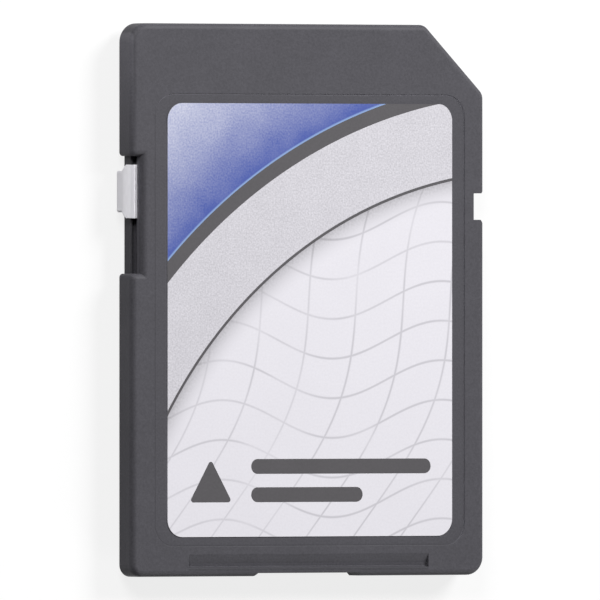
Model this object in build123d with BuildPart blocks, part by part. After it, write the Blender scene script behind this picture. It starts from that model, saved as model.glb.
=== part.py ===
from build123d import *
import os

# A full-size flash memory card with a write-protect slider.
# The card lies on its back: X runs to the right as seen from the label, Y runs to the contact edge
# and Z rises from the back face to the label. Sizes are in millimetres.

os.makedirs("parts", exist_ok=True)

# Outline of the card
card_width = 24.0
card_length = 32.0
card_thickness = 2.1
corner_cut = 4.0
lead_corner_radius = 1.1
rear_left_radius = 0.7
rear_right_radius = 1.05
cut_corner_radius = 0.7

# Side rails that run in the guides of a socket, and the raised back face between them
rail_thickness = 1.4
rail_width = 0.75
back_rear_step = 0.6
back_corner_radius = 1.0

# Moulded covers
seam_height = 1.4
front_edge_round = 0.35
back_edge_bevel = 0.15
floor_thickness = 0.3
roof_thickness = 0.26
side_wall = 1.55
lead_wall = 0.7
rear_wall = 0.9
cut_wall = 0.7
cavity_radius = 0.4
lip_width = 0.35
lip_clearance = 0.04

# Label and its shallow recess
label_width = 19.35
label_length = 25.1
label_thickness = 0.045
label_radius = 1.0
label_x = 0.1
label_y = -1.16
recess_margin_x = 0.86
recess_margin_y = 0.55
recess_depth = 0.06
recess_radius = 1.3
recess_slope = 5.0

# Fingernail groove, a ramp that ends at a lip near the rear edge
nail_groove_length = 16.3
nail_groove_width = 0.7
nail_groove_depth = 0.22
nail_groove_lip = 0.1
nail_groove_edge = 0.48

# Shallow notch in the rear edge
gate_notch_width = 7.2
gate_notch_depth = 0.18

# Catch notch in the right rail
catch_notch_start = 9.79
catch_notch_length = 1.54
catch_notch_round = 0.2
catch_notch_bevel = 0.27

# Slot of the write-protect slider in the left rail
slot_start = 7.68
slot_length = 6.8
slot_cover_depth = 0.73
slot_rail_depth = 0.34
slot_corner_round = 0.22

# Write-protect slider, held by a hook that reaches over a lip and below the front cover
slider_length = 3.1
slider_end_gap = 0.5
slider_proud = 0.18
slider_drop = 0.3
slider_clearance = 0.03
slider_face_gap = 0.27
slider_round = 0.45
slider_edge_round = 0.12
slider_relief_length = 0.35
slider_relief_height = 0.57
slider_relief_rise = 0.3
slider_corner_round = 0.12
tongue_thickness = 0.12
hook_lip = 0.12
hook_reach = 0.35
hook_depth = 0.3

# Contacts, counted from the one beside the cut corner's contact
contact_pitch = 2.5
contact_first_x = 6.875
contact_seventh_step = 2.425
contact_eighth_step = 1.7
contact_setback = 1.1
contact_length = 4.3
contact_thickness = 0.04
contact_margin = 0.15
contact_radius = 0.2
corner_contact_setback = 3.6
corner_contact_length = 3.4
window_width = 1.8
window_width_narrow = 1.2
window_margin = 0.5

# Circuit board and the ribs that carry it
board_thickness = 0.3
board_clearance = 0.07
rib_width = 0.7
pocket_columns = 3
pocket_rows = 3

# Memory chip and controller chip, with bent leads
memory_width = 12.0
memory_length = 15.4
memory_pins = 24
controller_width = 7.0
controller_side_gap = 1.25
controller_pins = 12
chip_height = 0.58
chip_standoff = 0.05
pin_mark_radius = 0.4
pin_mark_depth = 0.06
pin_mark_inset = 1.1
lead_pitch = 0.5
lead_width = 0.22
lead_thickness = 0.1
lead_shoulder = 0.22
lead_heel = 0.4
lead_reach = 0.8

# Small chip components
small_part_length = 1.0
small_part_width = 0.5
small_part_cap = 0.22
small_part_step = 0.03
small_part_count = 4
small_part_pitch = 1.6
small_part_side_gap = 2.4
capacitor_height = 0.5
resistor_height = 0.35
resistor_row_step = 2.8

# Heights and places that follow from these sizes
half_width = card_width / 2
half_length = card_length / 2
rail_floor = card_thickness - rail_thickness
board_seat = rail_floor + contact_thickness
board_top = board_seat + board_thickness
recess_floor = card_thickness - recess_depth
roof_underside = recess_floor - roof_thickness
cavity_half = half_width - side_wall
cavity_front = half_length - lead_wall
cavity_rear = rear_wall - half_length
cavity_cut = corner_cut + cut_wall * 2**0.5 - side_wall - lead_wall
slot_y = half_length - slot_start - slot_length / 2
catch_notch_top = half_length - catch_notch_start
catch_notch_end = catch_notch_top - catch_notch_length

# Chips and components share the room inside the lip
lip_reach = lip_clearance + lip_width
memory_span = memory_length + 2 * lead_reach
controller_span = controller_width + 2 * lead_reach
chip_gap = (cavity_front - cavity_rear - 2 * lip_reach - memory_span - controller_span) / 3
memory_y = cavity_rear + lip_reach + chip_gap + memory_span / 2
controller_x = lip_reach + controller_side_gap + controller_span / 2 - cavity_half
controller_y = cavity_front - lip_reach - chip_gap - controller_span / 2
small_part_end = cavity_half - lip_reach - small_part_side_gap - small_part_width / 2

# Hook groove of the slider, from the lip in the slot to a point below the front cover
rail_slot_x = slot_rail_depth - half_width
cover_slot_x = slot_cover_depth - half_width
groove_outer_x = rail_slot_x + hook_lip
groove_inner_x = cover_slot_x + hook_reach
groove_floor = seam_height - hook_depth
tongue_floor = seam_height + slider_clearance
tongue_roof = tongue_floor + tongue_thickness

# Places of the contacts in their order on the board
contact_x = [contact_first_x - contact_pitch * n for n in range(6)]
contact_x.append(contact_x[-1] - contact_seventh_step)
contact_x.append(contact_x[-1] - contact_eighth_step)
contact_x.append(contact_first_x + contact_pitch)
contact_window = [window_width] * 6 + [window_width_narrow] * 2 + [window_width]
contact_front = [half_length - contact_setback] * 8 + [half_length - corner_contact_setback]
contact_run = [contact_length] * 8 + [corner_contact_length]
deck_rear = contact_front[-1] - contact_run[-1] - window_margin - rib_width


# Outline of the cavity between the covers, drawn in from its walls by an inset
def cavity_face(inset):
    side = cavity_half - inset
    front = cavity_front - inset
    rear = cavity_rear + inset
    cut = cavity_cut - inset * (2 - 2**0.5)
    with BuildSketch() as cavity:
        with BuildLine():
            Polyline(
                (-side, rear),
                (side, rear),
                (side, front - cut),
                (side - cut, front),
                (-side, front),
                close=True,
            )
        make_face()
        fillet(cavity.vertices(), cavity_radius)
    return cavity.sketch


# Outline of the card with the slider's slot cut to a depth
def card_face(slot_depth):
    with BuildSketch() as outline:
        with BuildLine():
            Polyline(
                (-half_width, -half_length),
                (half_width, -half_length),
                (half_width, half_length - corner_cut),
                (half_width - corner_cut, half_length),
                (-half_width, half_length),
                close=True,
            )
        make_face()
        corners = (
            ((-half_width, half_length), lead_corner_radius),
            ((-half_width, -half_length), rear_left_radius),
            ((half_width, -half_length), rear_right_radius),
            ((half_width - corner_cut, half_length), cut_corner_radius),
            ((half_width, half_length - corner_cut), cut_corner_radius),
        )
        for corner, radius in corners:
            fillet(outline.vertices().sort_by_distance(corner)[0], radius)
        with Locations((-half_width, slot_y)):
            Rectangle(2 * slot_depth, slot_length, mode=Mode.SUBTRACT)
        for end in (slot_y - slot_length / 2, slot_y + slot_length / 2):
            fillet(outline.vertices().sort_by_distance((-half_width, end))[0], slot_corner_round)
    return outline.sketch


# Catch notch in the right rail, rounded at its upper mouth and bevelled at its lower one
with BuildSketch() as catch_notch:
    with BuildLine():
        Polyline(
            (half_width - rail_width, catch_notch_top),
            (half_width - catch_notch_round, catch_notch_top),
            (half_width, catch_notch_top + catch_notch_round),
            (half_width, catch_notch_end - catch_notch_bevel),
            (half_width - catch_notch_bevel, catch_notch_end),
            (half_width - rail_width, catch_notch_end),
            close=True,
        )
    make_face()

# Shallow notch in the rear edge, with sloped ends
with BuildSketch() as gate_notch:
    with BuildLine():
        Polyline(
            (-gate_notch_width / 2, -half_length),
            (gate_notch_width / 2, -half_length),
            (gate_notch_width / 2 - gate_notch_depth, gate_notch_depth - half_length),
            (gate_notch_depth - gate_notch_width / 2, gate_notch_depth - half_length),
            close=True,
        )
    make_face()

# Rear cover: rails, back face, contact windows with ribs between them, and the seat of the board
with BuildPart() as rear_cover:
    with BuildSketch(Plane.XY.offset(rail_floor)):
        add(card_face(slot_rail_depth))
    extrude(amount=seam_height - rail_floor)
    with BuildSketch(Plane.XY):
        add(card_face(slot_rail_depth))
        with Locations((0, back_rear_step / 2)):
            RectangleRounded(
                card_width - 2 * rail_width,
                card_length - back_rear_step,
                back_corner_radius,
                mode=Mode.INTERSECT,
            )
    extrude(amount=rail_floor)
    chamfer(rear_cover.edges().group_by(Axis.Z)[0], back_edge_bevel)
    with BuildSketch(Plane.XY.offset(board_seat)):
        add(cavity_face(0))
    extrude(amount=seam_height - board_seat, mode=Mode.SUBTRACT)
    pocket_width = (2 * (cavity_half - rib_width) + rib_width) / pocket_columns - rib_width
    pocket_length = (deck_rear - cavity_rear) / pocket_rows - rib_width
    with BuildSketch(Plane.XY.offset(floor_thickness)):
        with Locations((0, (deck_rear + cavity_rear + rib_width) / 2)):
            with GridLocations(
                pocket_width + rib_width, pocket_length + rib_width, pocket_columns, pocket_rows
            ):
                Rectangle(pocket_width, pocket_length)
    extrude(amount=board_seat - floor_thickness, mode=Mode.SUBTRACT)
    with BuildSketch(Plane.XY):
        for x, width, front, run in zip(contact_x, contact_window, contact_front, contact_run):
            window_length = half_length - front + run + window_margin
            with Locations((x, half_length - window_length / 2)):
                Rectangle(width, window_length)
    extrude(amount=board_seat, mode=Mode.SUBTRACT)
    with BuildSketch(Plane.XY.offset(groove_floor)):
        with Locations(((groove_outer_x + groove_inner_x) / 2, slot_y)):
            Rectangle(groove_inner_x - groove_outer_x, slot_length)
    extrude(amount=seam_height - groove_floor, mode=Mode.SUBTRACT)
    with BuildSketch(Plane.XY.offset(rail_floor)):
        add(catch_notch.sketch)
    extrude(amount=seam_height - rail_floor, mode=Mode.SUBTRACT)
    with BuildSketch(Plane.XY):
        add(gate_notch.sketch)
    extrude(amount=seam_height, mode=Mode.SUBTRACT)
rear_cover.part.label = "rear_cover"
export_step(rear_cover.part, "parts/rear_cover.step")

# Front cover: rounded front, label recess, nail groove, and a lip below that holds the board down
with BuildPart() as front_cover:
    with BuildSketch(Plane.XY.offset(seam_height)):
        add(card_face(slot_cover_depth))
    extrude(amount=card_thickness - seam_height)
    fillet(front_cover.faces().sort_by(Axis.Z)[-1].edges(), front_edge_round)
    with BuildSketch(Plane.XY.offset(recess_floor)):
        with Locations((label_x, label_y)):
            RectangleRounded(
                label_width + 2 * recess_margin_x, label_length + 2 * recess_margin_y, recess_radius
            )
    extrude(amount=recess_depth, taper=-recess_slope, mode=Mode.SUBTRACT)
    with BuildSketch(Plane.YZ.offset(-nail_groove_length / 2)):
        with BuildLine():
            groove_deep = nail_groove_edge + nail_groove_lip - half_length
            Polyline(
                (nail_groove_edge - half_length, card_thickness),
                (groove_deep, card_thickness - nail_groove_depth),
                (groove_deep + nail_groove_width, card_thickness),
                close=True,
            )
        make_face()
    extrude(amount=nail_groove_length, mode=Mode.SUBTRACT)
    with BuildSketch(Plane.XY.offset(seam_height)):
        add(catch_notch.sketch)
        add(gate_notch.sketch)
    extrude(amount=card_thickness - seam_height, mode=Mode.SUBTRACT)
    with BuildSketch(Plane.XY.offset(seam_height)):
        add(cavity_face(lip_reach))
    extrude(amount=roof_underside - seam_height, mode=Mode.SUBTRACT)
    with BuildSketch(Plane.XY.offset(board_top)):
        add(cavity_face(lip_clearance))
        add(cavity_face(lip_reach), mode=Mode.SUBTRACT)
    extrude(amount=seam_height - board_top)
front_cover.part.label = "front_cover"
export_step(front_cover.part, "parts/front_cover.step")

# Printed label on the floor of the recess
with BuildPart() as front_label:
    with BuildSketch(Plane.XY.offset(recess_floor)):
        with Locations((label_x, label_y)):
            RectangleRounded(label_width, label_length, label_radius)
    extrude(amount=label_thickness)
front_label.part.label = "front_label"
export_step(front_label.part, "parts/front_label.step")

# Write-protect slider: a grip with a shorter foot, a tongue over the lip and a hook below the front cover
slider_outer_x = -half_width - slider_proud
slider_front_y = slot_y + slot_length / 2 - slider_end_gap
slider_top = card_thickness - slider_drop
slider_foot = rail_floor + slider_clearance
slider_rear_y = slider_front_y - slider_length
foot_front_y = slider_front_y - slider_relief_length
foot_rear_y = slider_rear_y + slider_relief_length
foot_inner_x = rail_slot_x - slider_clearance
relief_top = slider_foot + slider_relief_height
grip_x = cover_slot_x - slider_face_gap
hook_outer_x = groove_outer_x + slider_clearance
hook_neck_x = cover_slot_x - slider_clearance
hook_inner_x = groove_inner_x - slider_clearance
hook_foot = groove_floor + slider_clearance
hook_top = seam_height - slider_clearance
with BuildPart() as lock_slider:
    with BuildSketch(Plane.XZ.offset(-slider_front_y)) as slider_profile:
        with BuildLine():
            Polyline(
                (slider_outer_x, slider_foot),
                (foot_inner_x, slider_foot),
                (foot_inner_x, tongue_floor),
                (hook_outer_x, tongue_floor),
                (hook_outer_x, hook_foot),
                (hook_inner_x, hook_foot),
                (hook_inner_x, hook_top),
                (hook_neck_x, hook_top),
                (hook_neck_x, tongue_roof),
                (grip_x, tongue_roof),
                (grip_x, slider_top),
                (slider_outer_x, slider_top),
                close=True,
            )
        make_face()
        fillet(slider_profile.vertices().sort_by_distance((slider_outer_x, slider_top))[0], slider_round)
        fillet(slider_profile.vertices().sort_by_distance((grip_x, slider_top))[0], slider_edge_round)
    extrude(amount=slider_length)
    for end_y, foot_y in ((slider_front_y, foot_front_y), (slider_rear_y, foot_rear_y)):
        with BuildSketch(Plane.YZ.offset(slider_outer_x)):
            with BuildLine():
                Polyline(
                    (foot_y, slider_foot),
                    (foot_y, relief_top),
                    (end_y, relief_top + slider_relief_rise),
                    (end_y, slider_foot),
                    close=True,
                )
            make_face()
        extrude(amount=foot_inner_x - slider_outer_x, mode=Mode.SUBTRACT)
    fillet(lock_slider.edges().filter_by(Axis.Z).group_by(Axis.X)[0], slider_corner_round)
lock_slider.part.label = "lock_slider"
export_step(lock_slider.part, "parts/lock_slider.step")

# Circuit board, seated on the ribs and held down by the front cover's lip
with BuildPart() as circuit_board:
    with BuildSketch(Plane.XY.offset(board_seat)):
        add(cavity_face(board_clearance))
    extrude(amount=board_thickness)
circuit_board.part.label = "circuit_board"
export_step(circuit_board.part, "parts/circuit_board.step")

# Contacts on the underside of the board, one in each window
for n, (x, width, front, run) in enumerate(zip(contact_x, contact_window, contact_front, contact_run), 1):
    with BuildPart() as contact_pad:
        with BuildSketch(Plane.XY.offset(rail_floor)):
            with Locations((x, front - run / 2)):
                RectangleRounded(width - 2 * contact_margin, run, contact_radius)
        extrude(amount=contact_thickness)
    contact_pad.part.label = f"contact_pad_{n}"
    export_step(contact_pad.part, f"parts/contact_pad_{n}.step")

# Memory chip
chip_foot = board_top + chip_standoff
with BuildPart() as memory_chip:
    with BuildSketch(Plane.XY.offset(chip_foot)):
        with Locations((0, memory_y)):
            Rectangle(memory_width, memory_length)
    extrude(amount=chip_height)
    with BuildSketch(Plane.XY.offset(chip_foot + chip_height)):
        mark_y = memory_y + memory_length / 2 - pin_mark_inset
        with Locations((pin_mark_inset - memory_width / 2, mark_y)):
            Circle(pin_mark_radius)
    extrude(amount=-pin_mark_depth, mode=Mode.SUBTRACT)
memory_chip.part.label = "memory_chip"
export_step(memory_chip.part, "parts/memory_chip.step")

# Controller chip
with BuildPart() as controller_chip:
    with BuildSketch(Plane.XY.offset(chip_foot)):
        with Locations((controller_x, controller_y)):
            Rectangle(controller_width, controller_width)
    extrude(amount=chip_height)
    with BuildSketch(Plane.XY.offset(chip_foot + chip_height)):
        mark_inset = controller_width / 2 - pin_mark_inset
        with Locations((controller_x - mark_inset, controller_y + mark_inset)):
            Circle(pin_mark_radius)
    extrude(amount=-pin_mark_depth, mode=Mode.SUBTRACT)
controller_chip.part.label = "controller_chip"
export_step(controller_chip.part, "parts/controller_chip.step")

# One bent lead, from the side of a chip down to the board
lead_middle = chip_foot + chip_height / 2
with BuildPart() as bent_lead:
    with BuildSketch(Plane.YZ.offset(-lead_width / 2)):
        with BuildLine():
            Polyline(
                (0, lead_middle + lead_thickness / 2),
                (lead_shoulder, lead_middle + lead_thickness / 2),
                (lead_heel, board_top + lead_thickness),
                (lead_reach, board_top + lead_thickness),
                (lead_reach, board_top),
                (lead_heel - lead_thickness, board_top),
                (lead_shoulder - lead_thickness, lead_middle - lead_thickness / 2),
                (0, lead_middle - lead_thickness / 2),
                close=True,
            )
        make_face()
    extrude(amount=lead_width)

# Leads at both ends of the memory chip
memory_row = [lead_pitch * (n - (memory_pins - 1) / 2) for n in range(memory_pins)]
with BuildPart() as memory_chip_leads:
    with Locations(*[Location((x, memory_y + memory_length / 2, 0)) for x in memory_row]):
        add(bent_lead.part)
    with Locations(*[Location((x, memory_y - memory_length / 2, 0), (0, 0, 180)) for x in memory_row]):
        add(bent_lead.part)
memory_chip_leads.part.label = "memory_chip_leads"
export_step(memory_chip_leads.part, "parts/memory_chip_leads.step")

# Leads on all four sides of the controller chip
controller_row = [lead_pitch * (n - (controller_pins - 1) / 2) for n in range(controller_pins)]
controller_spot = Location((controller_x, controller_y, 0))
with BuildPart() as controller_leads:
    for turn in (0, 90, 180, 270):
        side = controller_spot * Location((0, 0, 0), (0, 0, turn))
        with Locations(*[side * Location((x, controller_width / 2, 0)) for x in controller_row]):
            add(bent_lead.part)
controller_leads.part.label = "controller_leads"
export_step(controller_leads.part, "parts/controller_leads.step")

# Capacitors and resistors in two rows beside the controller, each with raised caps at its ends
small_part_rows = (
    ("capacitor", controller_y, capacitor_height),
    ("resistor", controller_y - resistor_row_step, resistor_height),
)
for kind, row_y, height in small_part_rows:
    for n in range(small_part_count):
        place_x = small_part_end - small_part_pitch * n
        with BuildPart() as small_part:
            with BuildSketch(Plane.XY.offset(board_top)):
                cap_y = (small_part_length - small_part_cap) / 2
                with Locations((place_x, row_y - cap_y), (place_x, row_y + cap_y)):
                    Rectangle(small_part_width, small_part_cap)
            extrude(amount=height)
            with BuildSketch(Plane.XY.offset(board_top + small_part_step)):
                with Locations((place_x, row_y)):
                    Rectangle(small_part_width - 2 * small_part_step, small_part_length - small_part_cap)
            extrude(amount=height - 2 * small_part_step)
        small_part.part.label = f"{kind}_{n + 1}"
        export_step(small_part.part, f"parts/{kind}_{n + 1}.step")
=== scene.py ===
"""Finishes, printed label and studio for a full-size flash memory card that lies on its back.

Lengths are written in millimetres in the settings and turned into metres where a piece is placed.
X runs to the right as seen from the label, Y runs to the contact edge and Z rises to the label.
"""

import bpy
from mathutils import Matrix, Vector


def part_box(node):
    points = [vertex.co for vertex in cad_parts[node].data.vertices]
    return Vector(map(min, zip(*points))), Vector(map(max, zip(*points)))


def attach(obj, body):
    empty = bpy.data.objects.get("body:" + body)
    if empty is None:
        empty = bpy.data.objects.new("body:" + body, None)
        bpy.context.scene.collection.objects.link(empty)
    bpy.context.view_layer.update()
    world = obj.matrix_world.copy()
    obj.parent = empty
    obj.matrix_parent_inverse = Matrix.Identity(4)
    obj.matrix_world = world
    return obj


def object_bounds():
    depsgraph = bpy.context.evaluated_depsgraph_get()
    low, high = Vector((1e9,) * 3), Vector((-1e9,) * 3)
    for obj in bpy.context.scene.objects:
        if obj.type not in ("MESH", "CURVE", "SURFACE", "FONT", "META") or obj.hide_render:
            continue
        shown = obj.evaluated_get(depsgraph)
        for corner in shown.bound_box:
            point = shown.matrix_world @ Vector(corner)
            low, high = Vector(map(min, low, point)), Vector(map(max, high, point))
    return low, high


bl_info = {
    "name": "Memory Card Looks",
    "version": (1, 0, 0),
    "blender": (4, 5, 0),
    "location": "3D View > Sidebar > Memory Card",
    "description": "Finishes, printed label and studio for a flash memory card",
    "category": "Object",
}

import math

import bpy
from bpy.props import FloatProperty, FloatVectorProperty, PointerProperty
from bpy.types import Operator, Panel, PropertyGroup
from mathutils import Matrix, Vector

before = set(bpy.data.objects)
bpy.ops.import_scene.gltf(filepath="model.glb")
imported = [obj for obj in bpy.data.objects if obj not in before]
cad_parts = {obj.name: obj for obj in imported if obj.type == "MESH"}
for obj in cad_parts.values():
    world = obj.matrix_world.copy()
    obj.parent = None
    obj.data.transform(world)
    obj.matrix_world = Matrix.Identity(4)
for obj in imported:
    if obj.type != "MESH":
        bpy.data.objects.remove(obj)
cad_low, cad_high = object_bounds()

MM = 0.001

# Fineness of modelled curves, and reaches in metres, millimetres and radians for cuts, corners and bends
ARC_STEPS = 720
CORNER_STEPS = 10
CUT_REACH = 1e-8
CORNER_REACH = 1e-3
BEND_REACH = 1e-3

# Share of a bar's height that rounds its ends, just short of half so that the corners stay apart
BAR_ROUND = 0.499

# Run of the label's fine lines: radians a millimetre, and how the second family differs from the first
WAVE_TURN = 0.42
WAVE_START = 0.9
CROSS_TURN = 0.25
CROSS_LEAN = 0.45
CROSS_SPREAD = 1.4

# Run of the glass cloth in the board, in radians a millimetre
WEAVE_TURN = 12.0

# Gain that turns the bend of a softened normal into a mask of edges, and samples of that softening
EDGE_GAIN = 2.4
EDGE_SAMPLES = 6

# Camera: width of its sensor in millimetres, and nearest and farthest distance in metres
SENSOR_WIDTH = 36.0
NEAREST = 0.01
FARTHEST = 10.0

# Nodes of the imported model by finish
COVERS = ("front_cover", "rear_cover")
CONTACTS = tuple(f"contact_pad_{n}" for n in range(1, 10))
CHIPS = ("memory_chip", "controller_chip")
LEADS = ("memory_chip_leads", "controller_leads")
CAPACITORS = tuple(f"capacitor_{n}" for n in range(1, 5))
RESISTORS = tuple(f"resistor_{n}" for n in range(1, 5))

# Middle and half size of the label and height of the front face, in millimetres
label_low, label_high = (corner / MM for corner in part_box("front_label"))
LABEL_MIDDLE = (label_low + label_high) / 2
LABEL_HALF = (label_high - label_low) / 2
FRONT = cad_high.z / MM


def screen_colour(red, green, blue):
    """A colour given as it shows on a screen, 0 to 255, as the linear colour that shaders use."""
    shares = [value / 255 for value in (red, green, blue)]
    return tuple(s / 12.92 if s <= 0.04045 else ((s + 0.055) / 1.055) ** 2.4 for s in shares)


def colour_setting(name, description, red, green, blue):
    """A colour property whose default is given as it shows on a screen."""
    return FloatVectorProperty(
        name=name,
        description=description,
        default=screen_colour(red, green, blue),
        subtype="COLOR",
        min=0.0,
        max=1.0,
    )


def length_setting(name, description, default):
    """A length property in millimetres."""
    return FloatProperty(name=f"{name} (mm)", description=description, default=default, precision=3)


def share_setting(name, description, default):
    """A property from 0 to 1."""
    return FloatProperty(
        name=name, description=description, default=default, subtype="FACTOR", min=0.0, max=1.0
    )


def tone_setting(name, place, default):
    """A change of tone at a place: 1 doubles it, and less than 0 darkens it."""
    return FloatProperty(name=name, description=f"Change of tone {place}", default=default, min=-1.0)


def place_setting(name, description, x, y, z):
    """A place in millimetres."""
    return FloatVectorProperty(
        name=f"{name} (mm)", description=description, default=(x, y, z), subtype="XYZ"
    )


def power_setting(name, description, default):
    """A lamp's power in watts."""
    return FloatProperty(name=name, description=description, default=default, unit="POWER", min=0.0)


class CoverSettings(PropertyGroup):
    """Moulded covers"""

    colour: colour_setting("Colour", "Colour of the dark moulded plastic", 75, 74, 79)
    pale: colour_setting("Pale", "Colour of rubbed edges", 97, 97, 101)
    grain: length_setting("Grain", "Size of the eroded grain of the mould", 0.12)
    grain_depth: length_setting("Grain depth", "Height of that grain", 0.006)
    edge_round: length_setting("Edge round", "Radius that softens every edge in the shading", 0.05)
    roughness: share_setting("Roughness", "Roughness of the plastic", 0.55)
    rub: share_setting("Rub", "How far the edges are rubbed pale", 0.12)


class PaintedLightSettings(PropertyGroup):
    """Painted light and painted shade on the covers"""

    # Every tone below is painted: above 0 it is painted light where shadow falls, below 0 it is painted
    # shade where light falls.
    soft: length_setting("Soft", "Distance over which a mark fades at its sides", 0.02)
    front_depth: length_setting("Front depth", "How deep below the front face marks on it reach", 0.3)
    front_fade: length_setting("Front fade", "Height over which they end there", 0.05)
    # The recess and gap marks are painted light on the recess's top and right edges and beside the
    # label's left side, and painted shade on its foot and left edges.
    recess_x: length_setting("Recess X", "Width of the recess beside the label", 0.86)
    recess_y: length_setting("Recess Y", "Width of the recess beyond the label's ends", 0.55)
    recess_radius: length_setting("Recess radius", "Radius of the recess's corners", 1.3)
    recess_line: length_setting("Recess line", "Width of the mark along the recess's edge", 0.08)
    recess_top: tone_setting("Recess top", "along the recess's end at the contact edge", 2.3)
    recess_foot: tone_setting("Recess foot", "along the recess's end at the rear edge", -0.15)
    recess_right: tone_setting("Recess right", "along the recess's right side", 1.05)
    recess_left: tone_setting("Recess left", "along the recess's left side", -0.5)
    gap_width: length_setting("Gap width", "Width of the mark at the label's left side", 0.09)
    gap_end: length_setting("Gap end", "Where that mark ends, from the label's middle", 11.8)
    gap_fade: length_setting("Gap fade", "Length over which it ends", 1.0)
    gap_tone: tone_setting("Gap tone", "at the label's left side", 0.45)
    groove_half: length_setting("Groove half", "Half the length of the nail groove", 8.15)
    groove_foot: length_setting("Groove foot", "Place along Y where the nail groove is deepest", -15.42)
    # The groove marks are painted light along its shadowed foot and painted shade on its lit lip.
    foot_light_reach: length_setting("Dust reach", "How far up the groove's ramp the dust goes", 0.17)
    foot_light_tone: tone_setting("Dust tone", "along the groove's foot", 0.35)
    lip_shade_reach: length_setting("Dirt reach", "How far the dirt goes from there to the rear", 0.25)
    lip_shade_tone: tone_setting("Dirt tone", "on the groove's lip", -0.2)
    # The slot marks are painted shade on the lip and painted light on the front cover's wall.
    slot_low: length_setting("Slot low", "Rear end of the slider's slot", 1.52)
    slot_high: length_setting("Slot high", "Front end of the slider's slot", 8.32)
    lip_side: length_setting("Lip side", "Place along X of the lip's inner side in the slot", -11.54)
    lip_tone: tone_setting("Lip tone", "on that lip", -0.34)
    wall_left: length_setting("Wall left", "Where the mark on the slot's wall starts along X", -11.32)
    wall_right: length_setting("Wall right", "Where it ends along X", -11.1)
    wall_foot: length_setting("Wall foot", "Where it starts along Z", 1.39)
    wall_top: length_setting("Wall top", "Where it ends along Z", 1.68)
    wall_fade: length_setting("Wall fade", "Height over which it fades", 0.07)
    wall_tone: tone_setting("Wall tone", "on the slot's wall", 0.6)
    # The rail marks are painted light on the side walls, lighter towards the contact edge.
    rail_start: length_setting("Rail start", "Distance from the middle where a rail's side starts", 11.8)
    rail_full: length_setting("Rail full", "Distance from the middle where it is full", 11.9)
    painted_light_start: length_setting("Rub start", "Place along Y where the rails start to be rubbed", 9.0)
    painted_light_full: length_setting("Rub full", "Place along Y where that is full", 14.2)
    rail_tone: tone_setting("Rail tone", "on the rails' leading ends", 0.75)


class SliderSettings(PropertyGroup):
    """Write-protect slider"""

    colour: colour_setting("Colour", "Colour of the pale plastic", 248, 247, 252)
    # Shade is painted shade: a darker band along the top of the grip, where the front cover shades it.
    shade: colour_setting("Shade", "Colour where a thumb has soiled it", 188, 187, 192)
    shade_start: length_setting("Shade start", "Distance from the grip's face where that starts", 0.09)
    shade_full: length_setting("Shade full", "Distance from the grip's face where it is full", 0.36)
    shade_end: length_setting("Shade end", "Distance from the grip's face where it ends", 0.56)
    shade_fade: length_setting("Shade fade", "Half the distance over which it ends", 0.02)
    edge_round: length_setting("Edge round", "Radius that softens every edge in the shading", 0.06)
    roughness: share_setting("Roughness", "Roughness of the plastic", 0.5)


class LabelSettings(PropertyGroup):
    """Printed label"""

    paper: colour_setting("Paper", "Colour of the unprinted film", 215, 213, 219)
    hairline: colour_setting("Hairline", "Colour of the fine wave lines", 188, 186, 192)
    blue_pale: colour_setting("Pale blue", "Blue field near the label's corner", 197, 199, 213)
    blue_deep: colour_setting("Deep blue", "Blue field along its curved edge", 67, 84, 156)
    edge_glow: colour_setting("Edge glow", "Fine pale line along the blue field", 137, 164, 204)
    silver: colour_setting("Silver", "Speckled silver band", 194, 192, 198)
    ink: colour_setting("Ink", "Dark ink of the stripe and the mark", 80, 78, 81)
    film: length_setting("Film", "Thickness of one layer of ink", 0.006)
    centre_x: length_setting("Centre X", "Centre of the arcs from the label's middle", 15.0)
    centre_y: length_setting("Centre Y", "Centre of the arcs from the label's middle", -20.0)
    arc_radius: length_setting("Arc radius", "Radius of the blue field's edge", 34.0)
    stripe_width: length_setting("Stripe width", "Width of the dark stripe", 0.85)
    band_width: length_setting("Band width", "Width of the silver band", 4.4)
    line_width: length_setting("Line width", "Width of the dark line inside the band", 0.16)
    wave_pitch: length_setting("Wave pitch", "Distance between the fine wave lines", 2.3)
    wave_height: length_setting("Wave height", "Rise of the fine wave lines", 1.1)
    hairline_width: length_setting("Hairline width", "Width of the fine wave lines", 0.11)
    shade_width: length_setting("Shade width", "Reach of the soft shade inside the dark line", 1.7)
    blue_depth: length_setting("Blue depth", "Distance over which the blue field turns pale", 8.0)
    corner_radius: length_setting("Corner radius", "Radius of the label's corners", 1.0)
    mark_y: length_setting("Mark Y", "Middle of the mark from the label's middle", -9.3)
    mark_height: length_setting("Mark height", "Height of the mark at the label's foot", 2.5)
    mark_length: length_setting("Mark length", "Length of that mark", 16.4)
    mark_gap: length_setting("Mark gap", "Gap between the arrow and the bars", 1.3)
    mark_round: length_setting("Mark round", "Rounding of the arrow's points", 0.3)
    bar_height: length_setting("Bar height", "Height of each bar", 0.86)
    bar_share: share_setting("Bar share", "Length of the lower bar beside the upper one", 0.62)


class InsideSettings(PropertyGroup):
    """Board, contacts, chips and components"""

    gold: colour_setting("Gold", "Plating of the contacts", 226, 184, 108)
    laminate: colour_setting("Laminate", "Solder mask of the board", 24, 78, 56)
    epoxy: colour_setting("Epoxy", "Bodies of the chips", 38, 38, 41)
    tin: colour_setting("Tin", "Leads and end caps", 198, 200, 204)
    capacitor: colour_setting("Capacitor", "Ceramic of the capacitors", 164, 128, 94)
    resistor: colour_setting("Resistor", "Glaze of the resistors", 34, 33, 36)
    cap_length: length_setting("Cap length", "Length of a component's end cap", 0.22)
    cap_fade: length_setting("Cap fade", "Half the distance over which a cap ends", 0.01)


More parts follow.
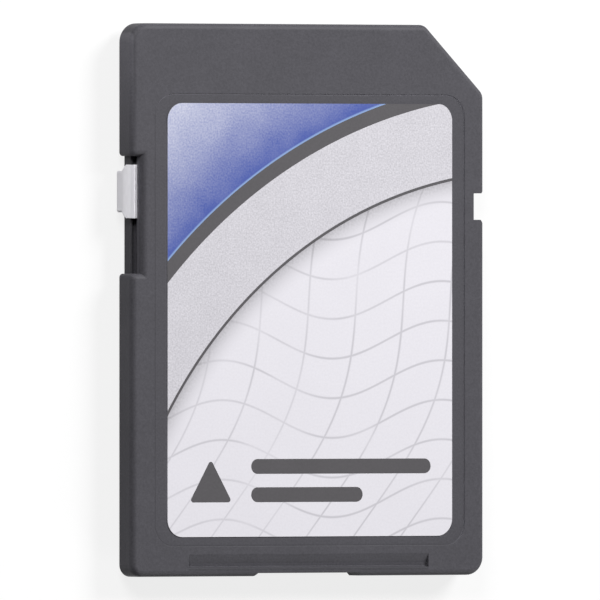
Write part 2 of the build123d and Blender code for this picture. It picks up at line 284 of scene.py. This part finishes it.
class StageSettings(PropertyGroup):
    """Camera, light and floor"""

    view_angle: FloatProperty(
        name="View angle",
        description="How far the camera leans to the card's left about its long axis",
        default=math.radians(31.5),
        subtype="ANGLE",
    )
    distance: length_setting("Distance", "Distance of the camera", 1550.0)
    frame_width: length_setting("Frame width", "Width that the picture takes in", 34.787)
    aim_x: length_setting("Aim X", "Point on the front face at the picture's middle", -0.612)
    aim_y: length_setting("Aim Y", "Point on the front face at the picture's middle", 0.0)
    ambient: share_setting("Ambient", "Strength of the even light", 0.02)
    lamp_share: share_setting("Lamp share", "Width of each lamp beside its distance", 0.47)
    right_place: place_setting("Right lamp", "Main lamp, beyond the cut corner", 152.0, 152.0, 180.0)
    right_power: power_setting("Right power", "Power of the main lamp", 0.88)
    left_place: place_setting("Left lamp", "Second lamp, beyond the slider", -119.0, 119.0, 141.0)
    left_power: power_setting("Left power", "Power of the second lamp", 0.31)
    low_place: place_setting("Low lamp", "Low lamp at the card's right", 403.0, -403.0, 185.0)
    low_power: power_setting("Low power", "Power of the low lamp", 1.5)
    floor_colour: colour_setting("Floor", "Colour of the floor as it shows", 246, 246, 246)
    floor_bounce: colour_setting("Floor bounce", "Colour with which it lights the card", 160, 160, 160)
    floor_white: share_setting("Floor white", "How far the floor shows as plain white", 0.8)
    floor_size: length_setting("Floor size", "Width of the floor", 4000.0)
    floor_gap: length_setting("Floor gap", "Gap that keeps the floor clear of the card's back", 0.01)


class MemoryCardSettings(PropertyGroup):
    """All settings of the memory card"""

    covers: PointerProperty(type=CoverSettings)
    painted_light: PointerProperty(type=PaintedLightSettings)
    slider: PointerProperty(type=SliderSettings)
    label: PointerProperty(type=LabelSettings)
    inside: PointerProperty(type=InsideSettings)
    stage: PointerProperty(type=StageSettings)


class Wire:
    """An output of a node, on which Python's arithmetic adds Math nodes."""

    def __init__(self, finish, socket):
        self.finish = finish
        self.socket = socket

    def math(self, operation, *values, clamp=False):
        """The value after a Math node, with other values or numbers."""
        return self.finish.math(operation, self, *values, clamp=clamp)

    def __add__(self, other):
        return self.math("ADD", other)

    __radd__ = __add__

    def __sub__(self, other):
        return self.math("SUBTRACT", other)

    def __rsub__(self, other):
        return self.finish.math("SUBTRACT", other, self)

    def __mul__(self, other):
        return self.math("MULTIPLY", other)

    __rmul__ = __mul__

    def __truediv__(self, other):
        return self.math("DIVIDE", other)

    def __rtruediv__(self, other):
        return self.finish.math("DIVIDE", other, self)

    def __pow__(self, other):
        return self.math("POWER", other)

    def __gt__(self, other):
        return self.math("GREATER_THAN", other)

    def __abs__(self):
        return self.math("ABSOLUTE")

    def held(self):
        """The value held between 0 and 1."""
        return self.math("ADD", 0.0, clamp=True)

    def ramp(self, low, high):
        """The value remapped so that low becomes 0 and high becomes 1, held between them."""
        return self.finish.add("ShaderNodeMapRange", None, {0: self, 1: low, 2: high})

    def within(self, low, high, soft):
        """1 between two values and 0 beyond them, with soft ends."""
        return self.ramp(low - soft, low + soft) * (1 - self.ramp(high - soft, high + soft))

    def by_sign(self, below, above):
        """One number where the value is below 0 and another where it is above."""
        return below + (above - below) * (self > 0.0)

    def line(self, pitch, width, soft):
        """Lines of a width at each multiple of a pitch, with soft sides."""
        return 1 - self.math("PINGPONG", pitch / 2).ramp(width / 2 - soft, width / 2 + soft)


class Finish:
    """The nodes of a material or a world, built one by one."""

    def __init__(self, owner):
        self.owner = owner
        owner.use_nodes = True
        self.tree = owner.node_tree
        self.tree.nodes.clear()

    def add(self, kind, options=None, inputs=None, output=0):
        """Adds a node of a type, with its options and then its inputs, and returns one output."""
        node = self.tree.nodes.new(kind)
        for name, value in (options or {}).items():
            setattr(node, name, value)
        for key, value in (inputs or {}).items():
            if isinstance(value, Wire):
                self.tree.links.new(value.socket, node.inputs[key])
            else:
                node.inputs[key].default_value = value
        return Wire(self, node.outputs[output]) if node.outputs else None

    def math(self, operation, *values, clamp=False):
        """A Math node on values or numbers."""
        how = {"operation": operation, "use_clamp": clamp}
        return self.add("ShaderNodeMath", how, dict(enumerate(values)))

    def vector_math(self, operation, *values, output=0, **named):
        """A Vector Math node on places, normals or colours."""
        inputs = {**dict(enumerate(values)), **named}
        return self.add("ShaderNodeVectorMath", {"operation": operation}, inputs, output)

    def place(self):
        """Place on the piece in millimetres."""
        place = self.add("ShaderNodeTexCoord", output="Object")
        return self.vector_math("SCALE", place, Scale=1 / MM)

    def axes(self, place):
        """The three parts of a place."""
        return [self.add("ShaderNodeSeparateXYZ", None, {0: place}, axis) for axis in "XYZ"]

    def stretched(self, place, x, y, z):
        """A place with each axis scaled, for streaks."""
        return self.vector_math("MULTIPLY", place, (x, y, z))

    def noise(self, place, size, detail=2.0, roughness=0.5):
        """Soft noise from 0 to 1 whose lumps have a size in millimetres."""
        inputs = {"Vector": place, "Scale": 1 / size, "Detail": detail, "Roughness": roughness}
        return self.add("ShaderNodeTexNoise", None, inputs)

    def rgba(self, colour):
        """A colour as a socket takes it."""
        return colour if isinstance(colour, Wire) else (*colour, 1.0)

    def mix(self, factor, first, second):
        """A colour between two colours."""
        inputs = {0: factor, 6: self.rgba(first), 7: self.rgba(second)}
        return self.add("ShaderNodeMix", {"data_type": "RGBA"}, inputs, 2)

    def toned(self, colour, tone):
        """A colour made darker or lighter by a factor."""
        first = colour if isinstance(colour, Wire) else tuple(colour)
        return self.vector_math("SCALE", first, Scale=tone)

    def softened(self, radius):
        """A normal that rounds each edge by a radius in millimetres."""
        return self.add("ShaderNodeBevel", {"samples": EDGE_SAMPLES}, {"Radius": radius * MM})

    def edge(self, softened):
        """How far a softened normal leaves the flat one, which marks the edges."""
        normal = self.add("ShaderNodeNewGeometry", output="Normal")
        return (1 - self.vector_math("DOT_PRODUCT", softened, normal, output="Value")) * EDGE_GAIN

    def bump(self, height, depth, normal=None):
        """A normal with relief of a depth in millimetres."""
        inputs = {"Height": height, "Distance": depth * MM}
        if normal is not None:
            inputs["Normal"] = normal
        return self.add("ShaderNodeBump", None, inputs)

    def shown(self):
        """1 for what the camera sees straight, in gloss or through something clear."""
        path = [
            self.add("ShaderNodeLightPath", output=f"Is {kind} Ray")
            for kind in ("Camera", "Glossy", "Transmission")
        ]
        return path[0].math("MAXIMUM", path[1]).math("MAXIMUM", path[2])

    def surface(self, **inputs):
        """Ends the material in one shader, whose sockets are named with underscores for spaces."""
        named = {key.replace("_", " "): value for key, value in inputs.items()}
        named["Base Color"] = self.rgba(named["Base Color"])
        shader = self.add("ShaderNodeBsdfPrincipled", None, named)
        self.add("ShaderNodeOutputMaterial", None, {"Surface": shader})
        return self.owner


def new_finish(name):
    """A new material, still without nodes."""
    return Finish(bpy.data.materials.new(name))


def settings():
    """The settings of the memory card in this scene."""
    return bpy.context.scene.memory_card


def coat(names, material):
    """Gives CAD nodes a material in their own slots."""
    for name in names:
        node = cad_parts[name]
        if not node.material_slots:
            node.data.materials.append(material)
        for slot in node.material_slots:
            slot.material = material


def arc_distance(finish, place):
    """Distance from the centre of the label's arcs, in millimetres."""
    label = settings().label
    x, y, _ = finish.axes(place)
    across = x - (LABEL_MIDDLE.x + label.centre_x)
    along = y - (LABEL_MIDDLE.y + label.centre_y)
    return (across * across + along * along).math("SQRT")


def recess_tone(x, y, front):
    """Tone round the label: painted light and painted shade along the recess's edge by side, and painted
    light in the label's shadow at its left side.
    """
    painted_light = settings().painted_light
    across, along = x - LABEL_MIDDLE.x, y - LABEL_MIDDLE.y
    straight_x = LABEL_HALF.x + painted_light.recess_x - painted_light.recess_radius
    straight_y = LABEL_HALF.y + painted_light.recess_y - painted_light.recess_radius
    out_x = (abs(across) - straight_x).math("MAXIMUM", 0.0)
    out_y = (abs(along) - straight_y).math("MAXIMUM", 0.0)
    reach = (out_x * out_x + out_y * out_y).math("SQRT") - painted_light.recess_radius
    line = reach.ramp(-painted_light.recess_line, -painted_light.soft / 2) * (1 - reach.ramp(0.0, painted_light.soft))
    sides = out_x * across.by_sign(painted_light.recess_left, painted_light.recess_right)
    ends = out_y * along.by_sign(painted_light.recess_foot, painted_light.recess_top)
    # Painted light in the label's contact shadow at its left side.
    gap = across.within(-LABEL_HALF.x - painted_light.gap_width, -LABEL_HALF.x, painted_light.soft)
    gap = gap * (1 - abs(along).ramp(painted_light.gap_end - painted_light.gap_fade, painted_light.gap_end))
    return 1 + front * (line * (sides + ends) / painted_light.recess_radius + painted_light.gap_tone * gap)


def groove_tone(x, y, front):
    """Tone of the nail groove: painted light along its shadowed foot and painted shade on its lit lip.
    """
    painted_light = settings().painted_light
    inside = front * (1 - abs(x).ramp(painted_light.groove_half - painted_light.soft, painted_light.groove_half + painted_light.soft))
    up, down = y - painted_light.groove_foot, painted_light.groove_foot - y
    foot_light = up.within(painted_light.soft, painted_light.foot_light_reach, 2 * painted_light.soft)
    lip_shade = down.within(painted_light.soft / 2, painted_light.lip_shade_reach, painted_light.soft)
    return 1 + inside * (painted_light.foot_light_tone * foot_light + painted_light.lip_shade_tone * lip_shade)


def slot_tone(x, y, z):
    """Tone in the slider's slot: painted shade on its lip and painted light on the front cover's
    shadowed wall behind it.
    """
    painted_light = settings().painted_light
    inside = y.within(painted_light.slot_low + painted_light.soft, painted_light.slot_high - painted_light.soft, painted_light.soft)
    lip = 1 - x.ramp(painted_light.lip_side, painted_light.lip_side + 2 * painted_light.soft)
    wall = x.within(painted_light.wall_left, painted_light.wall_right, 1.5 * painted_light.soft)
    wall = wall * z.within(painted_light.wall_foot, painted_light.wall_top, painted_light.wall_fade)
    return 1 + inside * (painted_light.wall_tone * wall + painted_light.lip_tone * lip)


def rail_tone(x, y):
    """Tone of the rails' sides: painted light, lighter towards the contact edge."""
    painted_light = settings().painted_light
    side = abs(x).ramp(painted_light.rail_start, painted_light.rail_full)
    return 1 + painted_light.rail_tone * side * y.ramp(painted_light.painted_light_start, painted_light.painted_light_full)


def painted_light_tone(finish, place):
    """Tone of all painted light and painted shade on the covers."""
    painted_light = settings().painted_light
    x, y, z = finish.axes(place)
    foot = FRONT - painted_light.front_depth
    front = z.ramp(foot, foot + painted_light.front_fade)
    return recess_tone(x, y, front) * groove_tone(x, y, front) * slot_tone(x, y, z) * rail_tone(x, y)


def cover_plastic():
    """Dark matte plastic with the eroded grain of a mould and rubbed edges, with painted light and shade
    round the label, in the groove, in the slot and on the rails.
    """
    covers = settings().covers
    finish = new_finish("cover_plastic")
    place = finish.place()
    grain = finish.noise(place, covers.grain, detail=3.0, roughness=0.6)
    mottle = finish.noise(place, size=2.6, detail=3.0)
    flow = finish.noise(finish.stretched(place, 0.25, 1.0, 1.0), size=0.7, detail=2.0)
    specks = finish.noise(place, size=0.16, detail=1.0).ramp(0.76, 0.84)
    softened = finish.softened(covers.edge_round)
    tone = 0.75 + 0.16 * mottle + 0.08 * flow + 0.26 * grain.ramp(0.3, 0.7)
    # Painted light and painted shade round the label, in the groove, in the slot and on the rails.
    tone = tone * painted_light_tone(finish, place)
    rubbed = (finish.edge(softened) * covers.rub * (0.4 + mottle) + 0.2 * specks).held()
    return finish.surface(
        Base_Color=finish.mix(rubbed, finish.toned(covers.colour, tone), covers.pale),
        Roughness=covers.roughness + 0.16 * (grain - 0.5) - 0.12 * (mottle - 0.5),
        Specular_IOR_Level=0.15,
        Normal=finish.bump(grain, depth=covers.grain_depth, normal=softened),
    )


def slider_plastic():
    """Pale plastic with faint flow marks and a band of painted shade along the top of the grip."""
    slider = settings().slider
    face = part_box("lock_slider")[0].x / MM
    finish = new_finish("slider_plastic")
    place = finish.place()
    x, _, _ = finish.axes(place)
    flow = finish.noise(finish.stretched(place, 1.0, 0.35, 1.0), size=0.5, detail=3.0)
    grain = finish.noise(place, size=0.07)
    reach = x - face
    # Painted shade in a band along the top of the grip, ending before the grip's inner edge.
    painted_shade = reach.ramp(slider.shade_start, slider.shade_full)
    end_low, end_high = slider.shade_end - slider.shade_fade, slider.shade_end + slider.shade_fade
    painted_shade = painted_shade * (1 - reach.ramp(end_low, end_high))
    return finish.surface(
        Base_Color=finish.toned(finish.mix(painted_shade, slider.colour, slider.shade), 0.97 + 0.06 * flow),
        Roughness=slider.roughness + 0.14 * (grain - 0.5),
        Specular_IOR_Level=0.2,
        Normal=finish.bump(grain, depth=0.003, normal=finish.softened(slider.edge_round)),
    )


def label_paper():
    """White film with two families of fine wave lines and a soft shade inside the arc's dark line."""
    label = settings().label
    finish = new_finish("label_paper")
    place = finish.place()
    x, y, _ = finish.axes(place)
    speckle = finish.noise(place, size=0.13, detail=1.0)
    cloud = finish.noise(place, size=3.5)
    wave = y + (x * WAVE_TURN + WAVE_START).math("SINE") * label.wave_height
    cross = (y * CROSS_TURN).math("SINE") * CROSS_SPREAD * label.wave_height
    cross = x - y * CROSS_LEAN + cross
    soft = 0.4 * label.hairline_width
    lines = wave.line(label.wave_pitch, label.hairline_width, soft).math(
        "MAXIMUM", cross.line(CROSS_SPREAD * label.wave_pitch, label.hairline_width, soft)
    )
    lines = lines * (0.45 + 0.75 * finish.noise(place, size=5.0).ramp(0.35, 0.65))
    inner = label.arc_radius - label.stripe_width - label.band_width
    depth = (arc_distance(finish, place) - (inner - label.shade_width)) / label.shade_width
    shade = (depth.held() ** 2.0 * (0.45 + 1.1 * speckle)).held()
    colour = finish.toned(label.paper, 0.925 + 0.1 * speckle + 0.04 * cloud)
    colour = finish.mix(lines.held(), colour, label.hairline)
    colour = finish.mix(0.55 * shade, colour, label.ink)
    return finish.surface(
        Base_Color=colour,
        Roughness=0.42 + 0.12 * speckle,
        Specular_IOR_Level=0.2,
        Normal=finish.bump(finish.noise(place, size=0.5), depth=0.002),
    )


def blue_ink():
    """Blue that deepens towards the arc through a coarse dither, with a fine pale line along the arc."""
    label = settings().label
    finish = new_finish("blue_ink")
    place = finish.place()
    reach = arc_distance(finish, place) - label.arc_radius
    dither = finish.noise(place, size=0.11, detail=1.0).ramp(0.25, 0.75)
    cloud = finish.noise(place, size=2.2)
    depth = reach / label.blue_depth
    depth = depth + 0.42 * (dither - 0.5) * depth.held() ** 0.5 + 0.3 * (cloud - 0.5)
    glow = 1 - reach.ramp(0.06, 0.14)
    colour = finish.mix(depth.held(), label.blue_deep, label.blue_pale)
    return finish.surface(
        Base_Color=finish.mix(glow * 0.8, colour, label.edge_glow),
        Roughness=0.4 + 0.1 * dither,
        Specular_IOR_Level=0.4,
        Normal=finish.bump(cloud, depth=0.002),
    )


def silver_ink():
    """Pale silver ink with a fine fleck."""
    label = settings().label
    finish = new_finish("silver_ink")
    place = finish.place()
    fleck = finish.noise(place, size=0.1, detail=1.0).ramp(0.28, 0.72)
    cloud = finish.noise(place, size=1.6)
    return finish.surface(
        Base_Color=finish.toned(label.silver, 0.82 + 0.25 * fleck + 0.1 * cloud),
        Roughness=0.34 + 0.18 * fleck,
        Specular_IOR_Level=0.4,
        Normal=finish.bump(fleck, depth=0.002),
    )


def dark_ink():
    """Dark grey ink, a little uneven."""
    label = settings().label
    finish = new_finish("dark_ink")
    place = finish.place()
    grain = finish.noise(place, size=0.15, detail=2.0)
    cloud = finish.noise(place, size=1.8)
    return finish.surface(
        Base_Color=finish.toned(label.ink, 0.84 + 0.18 * grain + 0.14 * cloud),
        Roughness=0.4 + 0.12 * grain,
        Specular_IOR_Level=0.4,
        Normal=finish.bump(grain, depth=0.002),
    )


def contact_gold():
    """Gold plating with wipe marks along the way that a socket's springs run."""
    inside = settings().inside
    finish = new_finish("contact_gold")
    place = finish.place()
    wipe = finish.noise(finish.stretched(place, 1.0, 0.06, 1.0), size=0.09, detail=3.0)
    bloom = finish.noise(place, size=0.8)
    softened = finish.softened(radius=0.02)
    return finish.surface(
        Base_Color=finish.toned(inside.gold, 0.82 + 0.2 * wipe + 0.12 * bloom),
        Metallic=1.0,
        Roughness=0.2 + 0.2 * wipe + 0.1 * bloom,
        Normal=finish.bump(wipe, depth=0.002, normal=softened),
    )


def board_laminate():
    """Solder mask over glass cloth, with tracks that show through it."""
    inside = settings().inside
    finish = new_finish("board_laminate")
    place = finish.place()
    x, y, _ = finish.axes(place)
    weave = (x * WEAVE_TURN).math("SINE") * (y * WEAVE_TURN).math("SINE")
    cells = finish.noise(finish.stretched(place, 1.0, 0.3, 1.0), size=1.4).ramp(0.45, 0.55)
    tracks = x.line(pitch=0.5, width=0.2, soft=0.02) * cells
    cloud = finish.noise(place, size=2.0)
    tone = 0.8 + 0.06 * weave + 0.5 * tracks + 0.25 * cloud
    return finish.surface(
        Base_Color=finish.toned(inside.laminate, tone),
        Roughness=0.34 + 0.1 * cloud,
        Normal=finish.bump(tracks + 0.2 * weave, depth=0.012),
    )


def chip_epoxy():
    """Black moulded epoxy with a fine matte grain."""
    inside = settings().inside
    finish = new_finish("chip_epoxy")
    place = finish.place()
    grain = finish.noise(place, size=0.06, detail=3.0)
    cloud = finish.noise(place, size=1.5)
    return finish.surface(
        Base_Color=finish.toned(inside.epoxy, 0.8 + 0.2 * grain + 0.2 * cloud),
        Roughness=0.55 + 0.2 * grain,
        Normal=finish.bump(grain, depth=0.006, normal=finish.softened(radius=0.04)),
    )


def lead_metal():
    """Tin-plated leads, dulled in patches."""
    inside = settings().inside
    finish = new_finish("lead_metal")
    place = finish.place()
    bloom = finish.noise(place, size=0.18, detail=3.0)
    return finish.surface(
        Base_Color=finish.toned(inside.tin, 0.82 + 0.24 * bloom),
        Metallic=1.0,
        Roughness=0.24 + 0.26 * bloom,
        Normal=finish.bump(bloom, depth=0.003, normal=finish.softened(radius=0.02)),
    )


def component_ceramic(name, first, body):
    """Ceramic body with tinned caps at both ends, for components that share one place along Y."""
    inside = settings().inside
    low, high = (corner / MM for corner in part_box(first))
    finish = new_finish(name)
    place = finish.place()
    _, y, _ = finish.axes(place)
    from_middle = abs(y - (low.y + high.y) / 2)
    cap_edge = (high.y - low.y) / 2 - inside.cap_length
    caps = from_middle.ramp(cap_edge - inside.cap_fade, cap_edge + inside.cap_fade)
    grain = finish.noise(place, size=0.08, detail=3.0)
    ceramic = finish.toned(body, 0.8 + 0.4 * grain)
    tin = finish.toned(inside.tin, 0.9 + 0.2 * grain)
    return finish.surface(
        Base_Color=finish.mix(caps, ceramic, tin),
        Metallic=caps,
        Roughness=0.38 + 0.2 * grain,
        Normal=finish.bump(grain, depth=0.004, normal=finish.softened(radius=0.03)),
    )


def begin_piece():
    """Leaves nothing selected, so that operators act on the new piece alone."""
    if bpy.context.mode != "OBJECT":
        bpy.ops.object.mode_set(mode="OBJECT")
    bpy.ops.object.select_all(action="DESELECT")


def select_corners(piece, corners):
    """Selects the vertices of a piece in edit mode that lie on given corners in millimetres."""
    bpy.ops.mesh.select_all(action="DESELECT")
    bpy.ops.object.mode_set(mode="OBJECT")
    found = 0
    for vertex in piece.data.vertices:
        spot = piece.matrix_world @ vertex.co / MM
        vertex.select = any((spot.xy - corner).length < CORNER_REACH for corner in corners)
        found += vertex.select
    bpy.ops.object.mode_set(mode="EDIT")
    return found


def end_film(piece, name, material):
    """Gives a flat sheet in edit mode the thickness of one ink layer and puts it on the card."""
    label = settings().label
    bpy.ops.mesh.select_all(action="SELECT")
    bpy.ops.mesh.extrude_region_move(TRANSFORM_OT_translate={"value": (0.0, 0.0, label.film * MM)})
    bpy.ops.mesh.select_all(action="SELECT")
    bpy.ops.mesh.normals_make_consistent(inside=False)
    bpy.ops.object.mode_set(mode="OBJECT")
    bpy.ops.object.transform_apply(location=True, rotation=True, scale=True)
    piece.name = name
    piece.data.name = name
    piece.data.materials.append(material)
    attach(piece, "card")


def ring_film(name, inner, outer, material):
    """A ring round the centre of the arcs, cut to the label's outline."""
    label = settings().label
    centre = Vector((LABEL_MIDDLE.x + label.centre_x, LABEL_MIDDLE.y + label.centre_y, label_high.z))
    begin_piece()
    bpy.ops.mesh.primitive_circle_add(
        vertices=ARC_STEPS, radius=outer * MM, fill_type="NOTHING", location=centre * MM
    )
    piece = bpy.context.object
    bpy.ops.object.mode_set(mode="EDIT")
    bpy.ops.mesh.select_all(action="SELECT")
    bpy.ops.mesh.extrude_region_move()
    bpy.ops.transform.resize(value=(inner / outer,) * 3, center_override=centre * MM)
    corners = []
    for side_x in (-1, 1):
        for side_y in (-1, 1):
            corners.append(
                Vector((LABEL_MIDDLE.x + side_x * LABEL_HALF.x, LABEL_MIDDLE.y + side_y * LABEL_HALF.y))
            )
    for corner, outward in ((label_low, -1.0), (label_high, 1.0)):
        for axis in (0, 1):
            normal = Vector((0.0, 0.0, 0.0))
            normal[axis] = outward
            bpy.ops.mesh.select_all(action="SELECT")
            bpy.ops.mesh.bisect(
                plane_co=corner * MM, plane_no=normal, clear_outer=True, threshold=CUT_REACH
            )
    bpy.ops.mesh.select_all(action="SELECT")
    bpy.ops.mesh.dissolve_limited(angle_limit=BEND_REACH)
    if select_corners(piece, corners):
        bpy.ops.mesh.bevel(
            offset=label.corner_radius * MM, segments=CORNER_STEPS, profile=0.5, affect="VERTICES"
        )
    end_film(piece, name, material)


def arrow_film(name, x, y, height, material):
    """A rounded triangle with even sides that points to the contact edge."""
    label = settings().label
    begin_piece()
    radius = height * 2 / 3
    spot = Vector((LABEL_MIDDLE.x + x, LABEL_MIDDLE.y + y - height / 6, label_high.z))
    bpy.ops.mesh.primitive_circle_add(
        vertices=3, radius=radius * MM, fill_type="NGON", location=spot * MM
    )
    piece = bpy.context.object
    bpy.ops.object.mode_set(mode="EDIT")
    bpy.ops.mesh.select_all(action="SELECT")
    bpy.ops.mesh.bevel(
        offset=label.mark_round * MM, segments=CORNER_STEPS, profile=0.5, affect="VERTICES"
    )
    end_film(piece, name, material)


def bar_film(name, x, y, length, height, material):
    """A bar with rounded ends, from its left end at x."""
    begin_piece()
    spot = Vector((LABEL_MIDDLE.x + x + length / 2, LABEL_MIDDLE.y + y, label_high.z))
    bpy.ops.mesh.primitive_plane_add(size=1.0, location=spot * MM)
    piece = bpy.context.object
    bpy.ops.object.mode_set(mode="EDIT")
    bpy.ops.mesh.select_all(action="SELECT")
    bpy.ops.transform.resize(value=(length * MM, height * MM, 1.0), center_override=spot * MM)
    bpy.ops.mesh.bevel(
        offset=BAR_ROUND * height * MM, segments=CORNER_STEPS, profile=0.5, affect="VERTICES"
    )
    end_film(piece, name, material)


class MEMORYCARD_OT_covers(Operator):
    """Finishes the front and the rear cover"""

    bl_idname = "memory_card.finish_covers"
    bl_label = "Finish the Covers"

    def execute(self, context):
        coat(COVERS, cover_plastic())
        return {"FINISHED"}


class MEMORYCARD_OT_slider(Operator):
    """Finishes the write-protect slider"""

    bl_idname = "memory_card.finish_slider"
    bl_label = "Finish the Slider"

    def execute(self, context):
        coat(["lock_slider"], slider_plastic())
        return {"FINISHED"}


class MEMORYCARD_OT_label(Operator):
    """Finishes the label's white film with its fine lines"""

    bl_idname = "memory_card.finish_label"
    bl_label = "Finish the Label"

    def execute(self, context):
        coat(["front_label"], label_paper())
        return {"FINISHED"}


class MEMORYCARD_OT_arcs(Operator):
    """Prints the blue field, the dark stripe, the silver band and the dark line"""

    bl_idname = "memory_card.print_arcs"
    bl_label = "Print the Arcs"

    def execute(self, context):
        label = settings().label
        ink = dark_ink()
        edge = label.arc_radius
        stripe = edge - label.stripe_width
        band = stripe - label.band_width
        ring_film("print_blue_field", edge, 2 * edge, blue_ink())
        ring_film("print_dark_stripe", stripe, edge, ink)
        ring_film("print_silver_band", band, stripe, silver_ink())
        ring_film("print_dark_line", band - label.line_width, band, ink)
        return {"FINISHED"}


class MEMORYCARD_OT_mark(Operator):
    """Prints a plain insertion arrow and two bars at the label's foot"""

    bl_idname = "memory_card.print_mark"
    bl_label = "Print the Mark"

    def execute(self, context):
        label = settings().label
        ink = bpy.data.materials["dark_ink"]
        left = -label.mark_length / 2
        arrow_width = label.mark_height * 2 / 3 * math.sqrt(3)
        bars_left = left + arrow_width + label.mark_gap
        bars_length = label.mark_length - arrow_width - label.mark_gap
        step = (label.mark_height - label.bar_height) / 2
        lower_length = bars_length * label.bar_share
        arrow_film("print_arrow", left + arrow_width / 2, label.mark_y, label.mark_height, ink)
        bar_film("print_bar_1", bars_left, label.mark_y + step, bars_length, label.bar_height, ink)
        bar_film("print_bar_2", bars_left, label.mark_y - step, lower_length, label.bar_height, ink)
        return {"FINISHED"}


class MEMORYCARD_OT_board(Operator):
    """Finishes the circuit board and its contacts"""

    bl_idname = "memory_card.finish_board"
    bl_label = "Finish the Board"

    def execute(self, context):
        coat(["circuit_board"], board_laminate())
        coat(CONTACTS, contact_gold())
        return {"FINISHED"}


class MEMORYCARD_OT_chips(Operator):
    """Finishes the chips and their leads"""

    bl_idname = "memory_card.finish_chips"
    bl_label = "Finish the Chips"

    def execute(self, context):
        coat(CHIPS, chip_epoxy())
        coat(LEADS, lead_metal())
        return {"FINISHED"}


class MEMORYCARD_OT_components(Operator):
    """Finishes the capacitors and the resistors"""

    bl_idname = "memory_card.finish_components"
    bl_label = "Finish the Components"

    def execute(self, context):
        inside = settings().inside
        coat(CAPACITORS, component_ceramic("capacitor_ceramic", CAPACITORS[0], inside.capacitor))
        coat(RESISTORS, component_ceramic("resistor_ceramic", RESISTORS[0], inside.resistor))
        return {"FINISHED"}


class MEMORYCARD_OT_stage(Operator):
    """Sets the floor, the light and the camera"""

    bl_idname = "memory_card.set_stage"
    bl_label = "Set the Stage"

    def execute(self, context):
        stage = settings().stage
        self.light_world(context, stage)
        self.lay_floor(stage)
        for name in ("right", "left", "low"):
            place = Vector(getattr(stage, f"{name}_place"))
            power = getattr(stage, f"{name}_power")
            self.hang_lamp(context, f"{name}_lamp", place, stage.lamp_share * place.length, power)
        self.set_camera(context, stage)
        context.scene.view_settings.view_transform = "Standard"
        return {"FINISHED"}

    def light_world(self, context, stage):
        """Even light from all sides."""
        finish = Finish(bpy.data.worlds.new("studio"))
        even = {"Color": (1.0,) * 4, "Strength": stage.ambient}
        light = finish.add("ShaderNodeBackground", None, even)
        finish.add("ShaderNodeOutputWorld", None, {"Surface": light})
        context.scene.world = finish.owner

    def lay_floor(self, stage):
        """Pale floor that shows nearly white and keeps the card's shadow."""
        begin_piece()
        spot = (0.0, 0.0, cad_low.z - stage.floor_gap * MM)
        bpy.ops.mesh.primitive_plane_add(size=stage.floor_size * MM, location=spot)
        floor = bpy.context.object
        floor.name = "floor"
        finish = new_finish("floor_white")
        grain = finish.noise(finish.place(), size=1.0)
        shown = finish.shown()
        sheet = finish.mix(shown, stage.floor_bounce, stage.floor_colour)
        sheet = finish.toned(sheet, 0.97 + 0.06 * grain)
        matte = finish.add("ShaderNodeBsdfDiffuse", None, {"Color": sheet})
        white = finish.add("ShaderNodeEmission", None, {"Color": (1.0,) * 4, "Strength": 1.0})
        whiteness = shown * stage.floor_white
        both = finish.add("ShaderNodeMixShader", None, {0: whiteness, 1: matte, 2: white})
        finish.add("ShaderNodeOutputMaterial", None, {"Surface": both})
        floor.data.materials.append(finish.owner)

    def hang_lamp(self, context, name, place, size, power):
        """Round soft lamp that points at the card."""
        data = bpy.data.lights.new(name, "AREA")
        data.shape = "DISK"
        data.size = size * MM
        data.energy = power
        lamp = bpy.data.objects.new(name, data)
        context.scene.collection.objects.link(lamp)
        lamp.location = place * MM
        lamp.rotation_mode = "QUATERNION"
        lamp.rotation_quaternion = lamp.location.to_track_quat("Z", "Y")
        lamp.visible_camera = False

    def set_camera(self, context, stage):
        """Long lens that looks down on the card and leans to its left."""
        data = bpy.data.cameras.new("camera")
        data.sensor_width = SENSOR_WIDTH
        data.lens = SENSOR_WIDTH * stage.distance / stage.frame_width
        data.clip_start = NEAREST
        data.clip_end = FARTHEST
        camera = bpy.data.objects.new("camera", data)
        context.scene.collection.objects.link(camera)
        back = Vector((-math.sin(stage.view_angle), 0.0, math.cos(stage.view_angle)))
        up = Vector((0.0, 1.0, 0.0))
        turn = Matrix((up.cross(back), up, back)).transposed().to_4x4()
        aim = Vector((stage.aim_x * MM, stage.aim_y * MM, cad_high.z))
        camera.matrix_world = Matrix.Translation(aim + back * stage.distance * MM) @ turn
        context.scene.camera = camera


class MEMORYCARD_PT_panel(Panel):
    """Lists the steps and the settings of the memory card"""

    bl_idname = "MEMORYCARD_PT_panel"
    bl_label = "Memory Card"
    bl_space_type = "VIEW_3D"
    bl_region_type = "UI"
    bl_category = "Memory Card"

    def draw(self, context):
        for step in STEPS:
            self.layout.operator(step.bl_idname)
        for name in MemoryCardSettings.__annotations__:
            group = getattr(context.scene.memory_card, name)
            box = self.layout.box()
            box.label(text=name.capitalize())
            for prop in group.__annotations__:
                box.prop(group, prop)


STEPS = (
    MEMORYCARD_OT_covers,
    MEMORYCARD_OT_slider,
    MEMORYCARD_OT_label,
    MEMORYCARD_OT_arcs,
    MEMORYCARD_OT_mark,
    MEMORYCARD_OT_board,
    MEMORYCARD_OT_chips,
    MEMORYCARD_OT_components,
    MEMORYCARD_OT_stage,
)
GROUPS = (
    CoverSettings,
    PaintedLightSettings,
    SliderSettings,
    LabelSettings,
    InsideSettings,
    StageSettings,
    MemoryCardSettings,
)


def register():
    for item in GROUPS + STEPS + (MEMORYCARD_PT_panel,):
        bpy.utils.register_class(item)
    bpy.types.Scene.memory_card = PointerProperty(type=MemoryCardSettings)


def unregister():
    del bpy.types.Scene.memory_card
    for item in reversed(GROUPS + STEPS + (MEMORYCARD_PT_panel,)):
        bpy.utils.unregister_class(item)


def main():
    register()
    for step in STEPS:
        group, name = step.bl_idname.split(".")
        getattr(getattr(bpy.ops, group), name)()


if __name__ == "__main__":
    main()
